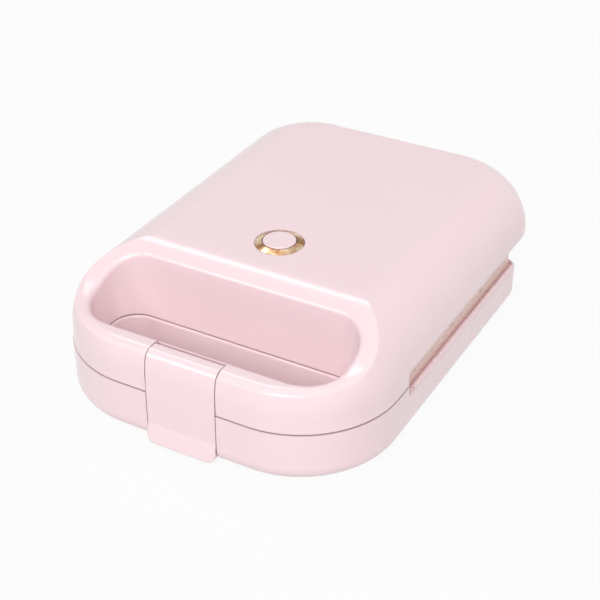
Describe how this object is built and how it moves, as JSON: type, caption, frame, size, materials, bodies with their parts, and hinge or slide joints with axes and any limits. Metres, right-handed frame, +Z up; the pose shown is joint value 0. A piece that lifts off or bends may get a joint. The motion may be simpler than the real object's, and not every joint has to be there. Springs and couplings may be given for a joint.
{
  "type": "sandwich maker",
  "caption": "Closed countertop toaster press: hinged lid with a finger opening and rounded shoulders, front latch, top push button, ridged plates inside.",
  "frame": {"origin": "centre of the footprint, on the surface the feet stand on", "axes": "+Z up, front with the latch towards -Y, +X to the right seen from the front; closed at rest"},
  "size_m": [0.145, 0.199, 0.0596],
  "materials": {
    "gloss_pink": "gloss",
    "frame_pink": "satin",
    "coated_plate": "satin non-stick coating",
    "tin_sheet": "bright pressed sheet",
    "element_steel": "dull, heat-tinted",
    "ceramic": "unglazed ceramic",
    "steel": "zinc plated",
    "nylon": "satin",
    "grey_rubber": "matt",
    "rose_gold": "polished, rose-gold plated",
    "dark_plastic": "satin"
  },
  "bodies": {
    "base": {"base_shell": "gloss_pink", "base_inner_frame": "frame_pink", "lower_plate": "coated_plate", "lower_reflector": "tin_sheet", "lower_heating_element": "element_steel", "lower_element_ends": "ceramic", "lower_element_clips": "steel", "thermostat": "ceramic", "terminal_block": "nylon", "cord_gland": "grey_rubber", "rubber_feet": "grey_rubber", "base_screws": "steel", "lower_plate_screws": "steel", "lower_reflector_screws": "steel", "hinge_pins": "steel"},
    "lid": {"lid_shell": "gloss_pink", "lid_inner_frame": "frame_pink", "upper_plate": "coated_plate", "upper_reflector": "tin_sheet", "upper_heating_element": "element_steel", "upper_element_ends": "ceramic", "upper_element_clips": "steel", "thermal_fuse": "nylon", "fuse_clip": "steel", "button_ring": "rose_gold", "power_switch": "dark_plastic", "switch_screws": "steel", "lid_front_screws": "steel", "lid_rear_screws": "steel", "upper_plate_screws": "steel", "upper_reflector_screws": "steel", "latch_pin": "steel", "button_spring": "steel"},
    "button": {"push_button": "gloss_pink"},
    "latch": {"latch": "gloss_pink"}
  },
  "joints": [
    {"name": "lid_hinge", "type": "hinge", "parent": "base", "child": "lid", "pos_m": [0, 0.0855, 0.026], "axis": [-1, 0, 0], "range_deg": [0, 100]},
    {"name": "latch_hinge", "type": "hinge", "parent": "lid", "child": "latch", "pos_m": [0, -0.0903, 0.0413], "axis": [-1, 0, 0], "range_deg": [0, 70]},
    {"name": "button_press", "type": "slide", "parent": "lid", "child": "button", "axis": [0, 0, -1], "range_m": [0, 0.0015], "stiffness_N_per_m": 400, "springref_m": -0.001, "deforming": ["button_spring"]}
  ]
}
